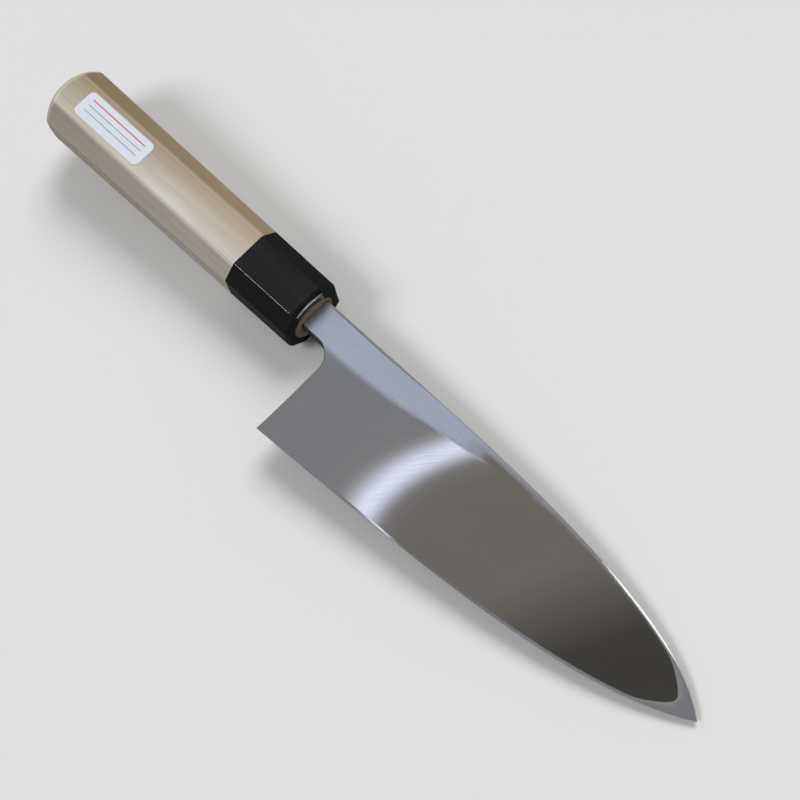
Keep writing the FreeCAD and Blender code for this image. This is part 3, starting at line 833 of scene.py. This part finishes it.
def slabMesh(levels, neck, heelRow, bevelRow):
    # Closed slab over a grid that has no cells below the neck: top and bottom sheets, with walls through
    # all the levels wherever a cell has no neighbour. Sheets have finish 0, the bevel 1 and walls 2.
    columns, rows = levels[0].shape[:2]
    row = np.arange(rows - 1)
    active = ~(neck[:-1, None] & (row < heelRow))
    grid = np.arange(columns * rows).reshape(columns, rows)
    step = columns * rows
    a, b, c, d = grid[:-1, :-1], grid[1:, :-1], grid[1:, 1:], grid[:-1, 1:]
    last = step * (len(levels) - 1)
    top = np.stack([a, b, c, d], axis=-1)[active]
    bottom = np.stack([a, d, c, b], axis=-1)[active] + last
    ringed = np.pad(active, 1)
    sides = [
        (a, b, ringed[1:-1, :-2]), (b, c, ringed[2:, 1:-1]),
        (c, d, ringed[1:-1, 2:]), (d, a, ringed[:-2, 1:-1]),
    ]
    walls = []
    for start, end, neighbour in sides:
        bare = active & ~neighbour
        first, second = start[bare], end[bare]
        for level in range(len(levels) - 1):
            above, below = level * step, (level + 1) * step
            corners = [first + below, second + below, second + above, first + above]
            walls.append(np.stack(corners, axis=-1))
    walls = np.concatenate(walls)
    faces = np.concatenate([top, bottom, walls])
    bevelled = np.broadcast_to(row < bevelRow, active.shape)[active]
    tags = np.concatenate([np.zeros(len(top)), bevelled, np.full(len(walls), 2)])
    return np.concatenate([level.reshape(-1, 3) for level in levels]), faces, tags


def neckColumns():
    # Even steps along the neck, then even angles round the heel's inside corner
    straightX = np.linspace(steelStartX, arcX, gridForm["neckColumns"])
    curvedX = arcX + machi * np.sin(np.radians(np.linspace(0, 90, gridForm["cornerColumns"])))
    return np.concatenate([straightX[:-1], curvedX])


def spineInsetAt(columns):
    # Width of the spine's chamfer: the arris, with more next to the neck and along the nose
    fade = 1 - smoothStep(*bladeForm["chamferSpan"], columns)
    start, full, ease, end = bladeForm["noseSpan"]
    nose = smoothStep(start, full, columns) * (1 - bladeForm["noseLoss"] * smoothStep(ease, end, columns))
    return bladeForm["arris"] + bladeForm["spineChamfer"] * fade + bladeForm["noseChamfer"] * nose


def makeBladeSteel(face, bevel, arris):
    # Columns: neck, body, the closing end of the hollow, and the tip
    closeTurn = np.radians(np.linspace(0, 90, gridForm["closeColumns"]))
    columns = np.concatenate([
        neckColumns(), np.linspace(heelX, hollowCloseX, gridForm["bodyColumns"])[1:-1],
        hollowCloseX + bladeForm["hollowClose"] * np.sin(closeTurn),
        np.linspace(hollowEndX, tipX, gridForm["tipColumns"])[1:],
    ])
    heel = np.argmax(columns >= heelX)
    neck = np.arange(len(columns)) < heel
    edge, spine, under = edgeAt(columns), spineAt(columns), underAt(columns)

    # Rows of the top follow the hollow's borders, and spread out again past its end
    rimRow, heelRow, borderRow, shoulderRow, lastRow = 3, 33, 43, 49, 50
    middle, half = hollowSpan(columns)
    endSpread, tipSpread = gridForm["endSpread"]
    spread = endSpread + (tipSpread - endSpread) * smoothStep(hollowEndX, tipX, columns)
    half = np.maximum(half, spread * (spine - edge))
    lowBorder, topBorder = np.clip(middle - half, edge, spine), np.clip(middle + half, edge, spine)
    cornerShare = (arcY - lowBorder[heel]) / (topBorder[heel] - lowBorder[heel])
    corner = lowBorder + cornerShare * (topBorder - lowBorder)
    corner = np.where(neck, under, corner)
    topBorder = np.where(neck, np.maximum(topBorder, under + gridForm["neckBorder"]), topBorder)
    shoulder = spine - np.minimum(gridForm["shoulder"], gridForm["steelShoulder"] * (spine - topBorder))
    inner = np.minimum(gridForm["innerRow"], gridForm["innerShare"] * half)
    topKeys = [
        (0, edge), (rimRow, lowBorder), (rimRow + 1, lowBorder + inner), (heelRow, corner),
        (borderRow - 1, topBorder - inner), (borderRow, topBorder), (shoulderRow, shoulder),
        (lastRow, spine),
    ]

    # Rows of the underside follow the weld line
    weldRow = 12
    weld = np.minimum(weldLine(columns), edge + gridForm["weldRoom"] * (spine - edge))
    lowCorner = weld + (spine - weld) * (arcY - weld[heel]) / (spineY - weld[heel])
    lowCorner = np.where(neck, under, lowCorner)
    lowKeys = [(0, edge), (weldRow, weld), (heelRow, lowCorner), (lastRow, spine)]

    def topZ(x, y):
        # Flat face less the hollow
        return faceZ - np.clip(hollowDepth(x, y), 0, None)

    def lowZ(x, y):
        # Highest of the weld, the bevel and the flat of the other side
        return np.maximum(np.maximum(weldZ(x), bevelAt(x, y)), backAt(x))

    # Levels: two steps of chamfer down from the top, then the underside
    insets = spineInsetAt(columns)
    drops = bladeForm["arrisDrop"] + bladeForm["chamferSlope"] * (insets - bladeForm["arris"])
    runOut = np.clip((tipX - columns) / bladeForm["pointRun"], 0, 1)  # nothing is taken off at the point
    levels = []
    for share, fall in ((1.0, 0.0), (0.5, 0.5), (0.0, 1.0)):
        x, y = bladePlan(columns, topKeys, heelRow, bladeForm["arris"] * share, insets * runOut * share)
        z = topZ(x, y)
        limit = bladeForm["chamferLimit"] * np.clip(z - lowZ(x, y), 0, None)
        drop = np.minimum((drops * runOut)[:, None], limit)
        levels.append(np.stack([x, y, z - drop * fall], axis=-1))
    x, y = bladePlan(columns, lowKeys, heelRow, 0.0, 0.0)
    levels.append(np.stack([x, y, lowZ(x, y)], axis=-1))
    points, faces, tags = slabMesh(levels, neck, heelRow, weldRow)

    # Layers on the top: a burnished line round the hollow's end, lightened also as a painted reflection,
    # and the hollow's polish
    x, y = levels[0][..., 0], levels[0][..., 1]
    start, full = (hollowCloseX + past for past in bladeForm["burnishAndSheenSpan"])
    wear = np.zeros((len(levels),) + x.shape)
    wear[0] = smoothStep(-bladeForm["burnishAndSheen"], 0, hollowDepth(x, y)) * smoothStep(start, full, x)
    ground = np.zeros_like(wear)
    ground[0] = hollowShare(x, y)
    return makePiece("bladeSteel", points, faces, [face, bevel, arris], "blade_steel",
                     tags=tags, layers={"wear": wear, "ground": ground})


def makeBladeIron(flat, bevel, arris):
    # Columns: tang, neck and body; rows: weld line, ridge of the bevel, heel's corner, spine
    inHandle = np.linspace(tangEndX, tangForm["start"], gridForm["tangColumns"])
    inHandle = np.concatenate([inHandle, [steelStartX]])
    body = np.linspace(heelX, ironEndX, gridForm["ironColumns"])[1:]
    columns = np.concatenate([inHandle, neckColumns(), body])
    heel = np.argmax(columns >= heelX)
    neck = np.arange(len(columns)) < heel
    hidden = np.arange(len(columns)) < len(inHandle)
    spine, under, weld = spineAt(columns), underAt(columns), weldLine(columns)
    ridge = edgeAt(columns) + bladeForm["bevelRun"] * (faceZ - backAt(columns))
    ridge = np.clip(ridge, weld, weld + gridForm["ridgeRoom"] * (spine - weld))
    corner = ridge + (spine - ridge) * (arcY - ridge[heel]) / (spineY - ridge[heel])
    corner = np.where(neck, under, corner)
    shoulder = spine - np.minimum(gridForm["shoulder"], gridForm["ironShoulder"] * (spine - corner))
    ridgeRow, heelRow, shoulderRow, lastRow = 10, 18, 28, 30
    keys = [(0, weld), (ridgeRow, ridge), (heelRow, corner), (shoulderRow, shoulder), (lastRow, spine)]
    fullZ = faceZ * (1 - tangShare(columns)) + tangForm["endThick"] / 2 * tangShare(columns)
    roofZ = np.where(hidden, fullZ, weldZ(columns))[:, None]

    def lowZ(x, y):
        # Higher of the bevel and the flat, under the roof; the tang and the neck have no bevel
        bevelled = np.where(x > heelX - 1, bevelAt(x, y), backZ)
        return np.minimum(np.maximum(bevelled, backAt(x)), roofZ)

    # Levels: roof under the steel, then two steps of broken edge down to the underside
    levels = []
    for share, rise in ((0.0, None), (0.0, 1.0), (0.35, 0.4), (1.0, 0.0)):
        inset = bladeForm["arris"] * share
        x, y = bladePlan(columns, keys, heelRow, inset, inset)
        z = lowZ(x, y)
        if rise is None:
            z = roofZ * np.ones_like(y)
        else:
            limit = bladeForm["chamferLimit"] * np.clip(roofZ - z, 0, None)
            z = z + rise * np.minimum(bladeForm["arrisDrop"], limit)
        levels.append(np.stack([x, y, z], axis=-1))
    points, faces, tags = slabMesh(levels, neck, heelRow, ridgeRow)
    return makePiece("bladeIron", points, faces, [flat, bevel, arris], "blade_iron", tags=tags)


# Resin ring round the neck: its front sinks between the wood and the steel

sealForm = {"dish": 0.35, "setBack": 0.05, "frontRings": 7}


def makeSeal(finish):
    # Front: sheet from the outer slot to the neck that dips by dish * sin(pi * share)
    gap = handleForm["sealGap"]
    outer = slotRing(neckTall + gap, neckHalf + gap, neckMiddle)
    inner = slotRing(neckTall, neckHalf, neckMiddle)
    share = np.linspace(0, 1, sealForm["frontRings"])[:, None]
    dish = toKnife(sealHigh)[0] - sealForm["dish"] * np.sin(math.pi * share) - sealForm["setBack"]
    front = asRings(dish, outer * (1 - share[..., None]) + inner * share[..., None])
    back = np.stack([asRings(sealX, inner), asRings(sealX, outer)])
    rings = np.concatenate([front, back])
    faces = tubeFaces(len(rings), ringCount, True)
    return makePiece("tangSeal", rings.reshape(-1, 3), faces, [finish], "tang_seal",
                     sharpAngle=50)


# Paper label: rounded rectangle laid on the upper flat, which slopes with the handle's taper

labelForm = {"thick": 0.15, "corner": 2.2, "edgeRound": 0.05, "cornerPoints": 9}


def makeLabel(finish):
    # Outline of four arcs, carried in from the rim to the middle on top and underneath
    low, high = toKnife(paperLow), toKnife(paperHigh)
    halfLong, halfWide = (high[:2] - low[:2]) / 2
    middleX, middleY = (high[:2] + low[:2]) / 2
    corner = labelForm["corner"]
    sweep = np.radians(np.arange(0, 360, 90)[:, None] + np.linspace(0, 90, labelForm["cornerPoints"]))
    cornerX = np.array([1, -1, -1, 1])[:, None] * (halfLong - corner)
    cornerY = np.array([1, 1, -1, -1])[:, None] * (halfWide - corner)
    outline = np.stack([cornerX + corner * np.cos(sweep), cornerY + corner * np.sin(sweep)], axis=-1)
    outline = outline.reshape(-1, 2)
    thick, rounding = labelForm["thick"], labelForm["edgeRound"]
    inset = 1 - rounding / halfWide
    profile = [(0, thick), (0.5, thick), (inset, thick), (1, thick - rounding), (1, 0), (0.5, 0), (0, 0)]
    shares = np.array(profile)
    plan = outline * shares[:, :1, None]
    slope = (handleForm["buttWidth"] - handleForm["frontWidth"]) / 2 / -buttX
    x = middleX + plan[..., 0]
    z = handleForm["buttWidth"] / 2 - slope * (x - buttX) + shares[:, 1:]
    rings = np.stack([x, middleY + plan[..., 1], z], axis=-1)
    faces = tubeFaces(len(rings), len(outline), False)[:, ::-1]
    return makePiece("paperLabel", rings.reshape(-1, 3), faces, [finish], "label",
                     sharpAngle=12)


handleWood = makeHandle(makeWood())
ferruleHorn = makeFerrule(makeHorn())
bladeSteel = makeBladeSteel(makeFace(), makeMetal("steelBevel"), makeMetal("steelArris"))
bladeIron = makeBladeIron(makeMetal("ironFlat"), makeMetal("ironBevel"), makeMetal("ironArris"))
tangSeal = makeSeal(makeResin())
paperLabel = makeLabel(makePaper())
print("knife dressed")


# Floor, light and camera. The floor touches the ferrule and the blade near its tip, as the
# knife lies on a table.

floorForm = {
    "colour": (0.80, 0.80, 0.79, 1), "mirrored": (0.12, 0.12, 0.12, 1),  # as seen, and in the knife
    "rough": 0.85, "specular": 0.2,
    "size": 12.0, "pitch": 3.9,  # m, and degrees that the knife's axis leans
}
# The world in directions x, y, z. Overhead it falls off in two steps from the butt's side to the tip's,
# low down it is even. The streak is a bent light tube, x + a y - b y^2 = constant.
worldForm = {
    "buttLevel": 0.34, "middleLevel": 0.25, "tipLevel": 0.085, "slantLevel": 0.32, "sideLevel": 0.12,
    "buttStep": (-0.010, 0.006), "tipStep": (-0.150, -0.105), "tipLean": 0.2,
    "overheadFrom": (0.55, 0.85), "slantFrom": (0.18, 0.30),  # heights z
    "cool": (0.94, 0.98, 1.05, 1), "warm": (1.0, 0.94, 0.87, 1), "plain": (1, 1, 1, 1),
    "tintStep": (-0.03, 0.01),
    "streakBend": (0.4815, 0.8725), "streakAt": -0.2062, "streakColour": (1.18, 1.28, 1.62),
    "streakRise": (-0.0175, 0.0), "streakPower": 2.0, "streakFall": (0.001, 0.0125),
    "backdrop": (0.79, 0.79, 0.78, 1),  # behind the floor
}
lampForms = {  # far lamps: direction they come from, strength, width in degrees
    "key": {"from": (-0.36, 0.60, 0.71), "strength": 1.75, "angle": 32.0},
    "fill": {"from": (-0.38, -0.62, 0.69), "strength": 1.2, "angle": 24.0},
}
panelForms = {  # small panels: place, aim and size in mm on the knife's axes, level of light
    "arrisPanel": {
        "at": (-126.0, -164.0, 241.3), "aim": (-12.0, -8.6, 11.2), "size": (68, 26), "level": 45.0,
    },
    "frontPanel": {
        "at": (364.7, 103.8, 475.7), "aim": (-0.7, 0.0, 11.3), "size": (40, 40), "level": 8.0,
    },
    "nosePanel": {
        "at": (221.0, 235.0, 191.5), "aim": (223.0, 1.2, 3.4), "size": (210, 22), "level": 2.4,
    },
}
cameraForm = {
    "at": (229.0, -111.3, 601.4),  # mm on the knife's axes
    "along": (-0.2881, 0.1724, -0.9419), "up": (-0.6427, 0.6944, 0.3237),
    "lens": 81.0, "sensor": 36.0,  # mm
    "nearest": 0.01,  # m
}


def makeFloor():
    # Square that leans by pitch and touches the knife's lowest points
    pitch = math.radians(floorForm["pitch"])
    upward = Vector((-math.sin(pitch), 0, math.cos(pitch)))
    heights = []
    for piece in (handleWood, ferruleHorn, bladeSteel, bladeIron):
        spots = np.empty(len(piece.data.vertices) * 3)
        piece.data.vertices.foreach_get("co", spots)
        heights.append((spots.reshape(-1, 3) @ np.array(upward)).min())
    half = floorForm["size"] / 2
    square = np.array([(-half, -half, 0), (half, -half, 0), (half, half, 0), (-half, half, 0)])
    turn = np.array(upward.to_track_quat("Z", "Y").to_matrix())
    mesh = bpy.data.meshes.new("floor")
    mesh.from_pydata((square @ turn.T + np.array(upward) * min(heights)).tolist(), [], [(0, 1, 2, 3)])
    finish, tree, shader = newFinish("paleFloor")
    mirrored = tree.nodes.new("ShaderNodeLightPath").outputs["Is Glossy Ray"]
    feed(tree, shader, {
        "Base Color": blendColour(tree, mirrored, floorForm["colour"], floorForm["mirrored"]),
        "Roughness": floorForm["rough"],
        "Specular IOR Level": floorForm["specular"],
    })
    mesh.materials.append(finish)
    floor = bpy.data.objects.new("floor", mesh)
    bpy.context.scene.collection.objects.link(floor)


def placeLamp(name, lamp, facing):
    # Turned so that its light comes from the direction facing
    shown = bpy.data.objects.new(name, lamp)
    shown.rotation_mode = "QUATERNION"
    shown.rotation_quaternion = Vector(facing).to_track_quat("Z", "Y")
    bpy.context.scene.collection.objects.link(shown)
    return shown


def addLamp(name, values):
    # Far lamp, a broad disc. It isn't mirrored, or it would whiten the whole blade from some sides.
    lamp = bpy.data.lights.new(name, "SUN")
    lamp.energy = values["strength"]
    lamp.angle = math.radians(values["angle"])
    placeLamp(name, lamp, values["from"]).visible_glossy = False


def addPanel(name, values):
    # Small panel that is only mirrored, in the polished edges
    lamp = bpy.data.lights.new(name, "AREA")
    lamp.shape = "RECTANGLE"
    lamp.size, lamp.size_y = (side * mm for side in values["size"])
    lamp.energy = math.pi * lamp.size * lamp.size_y * values["level"]
    at = toFrame(values["at"])
    shown = placeLamp(name, lamp, at - toFrame(values["aim"]))
    shown.location = at
    shown.visible_camera = False
    shown.visible_diffuse = False


def scaleColour(tree, colour, level):
    # Colour times level
    return addNode(tree, "VectorMath", {0: colour, "Scale": level}, operation="SCALE").outputs[0]


def makeWorld():
    # Light is tint times level, plus the streak
    values = worldForm
    world = bpy.data.worlds.new("studio")
    bpy.context.scene.world = world
    world.use_nodes = True
    tree = world.node_tree
    direction = tree.nodes.new("ShaderNodeTexCoord").outputs["Generated"]
    x, y, z = addNode(tree, "SeparateXYZ", {0: direction}).outputs
    upward = ramp(tree, z, *values["overheadFrom"], 0, 1)

    # How far a direction lies from the bent line of the streak
    first, second = values["streakBend"]
    bend = maths(tree, "MULTIPLY", y, maths(tree, "SUBTRACT", first, maths(tree, "MULTIPLY", y, second)))
    bent = maths(tree, "SUBTRACT", maths(tree, "ADD", x, bend), values["streakAt"])

    # Level and tint
    lean = maths(tree, "ADD", x, maths(tree, "MULTIPLY", y, values["tipLean"]))
    overhead = ramp(tree, bent, *values["buttStep"], values["buttLevel"], values["middleLevel"])
    loss = ramp(tree, lean, *values["tipStep"], 0, values["middleLevel"] - values["tipLevel"])
    overhead = maths(tree, "SUBTRACT", overhead, loss)
    below = ramp(tree, z, *values["slantFrom"], values["sideLevel"], values["slantLevel"])
    below = maths(tree, "MULTIPLY", maths(tree, "SUBTRACT", 1.0, upward), below)
    level = maths(tree, "ADD", maths(tree, "MULTIPLY", overhead, upward), below)
    tint = blendColour(tree, ramp(tree, bent, *values["tintStep"], 0, 1), values["cool"], values["warm"])
    tint = blendColour(tree, upward, values["plain"], tint)

    # Streak, then the backdrop for the camera
    rise = ramp(tree, bent, *values["streakRise"], 0, 1, "SMOOTHSTEP")
    tube = maths(tree, "MULTIPLY", maths(tree, "POWER", rise, values["streakPower"]), upward)
    tube = maths(tree, "MULTIPLY", tube, ramp(tree, bent, *values["streakFall"], 1, 0, "SMOOTHSTEP"))
    even, streak = scaleColour(tree, tint, level), scaleColour(tree, values["streakColour"], tube)
    light = addNode(tree, "VectorMath", {0: even, 1: streak}, operation="ADD").outputs[0]
    seen = tree.nodes.new("ShaderNodeLightPath").outputs["Is Camera Ray"]
    light = blendColour(tree, seen, light, values["backdrop"])
    feed(tree, tree.nodes["Background"], {"Color": light, "Strength": 1.0})


def makeCamera():
    # Looks along one direction, with up made square to it
    along, up = Vector(cameraForm["along"]).normalized(), Vector(cameraForm["up"])
    right = along.cross(up).normalized()
    up = right.cross(along)
    lens = bpy.data.cameras.new("photoCamera")
    lens.lens = cameraForm["lens"]
    lens.sensor_width = cameraForm["sensor"]
    lens.clip_start = cameraForm["nearest"]
    camera = bpy.data.objects.new("photoCamera", lens)
    place = Matrix.Translation(toFrame(cameraForm["at"]))
    camera.matrix_world = place @ Matrix((right, up, -along)).transposed().to_4x4()
    bpy.context.scene.collection.objects.link(camera)
    bpy.context.scene.camera = camera


makeFloor()
makeWorld()
for name, values in lampForms.items():
    addLamp(name, values)
for name, values in panelForms.items():
    addPanel(name, values)
makeCamera()
bpy.context.scene.view_settings.view_transform = "Standard"
print("stage set")
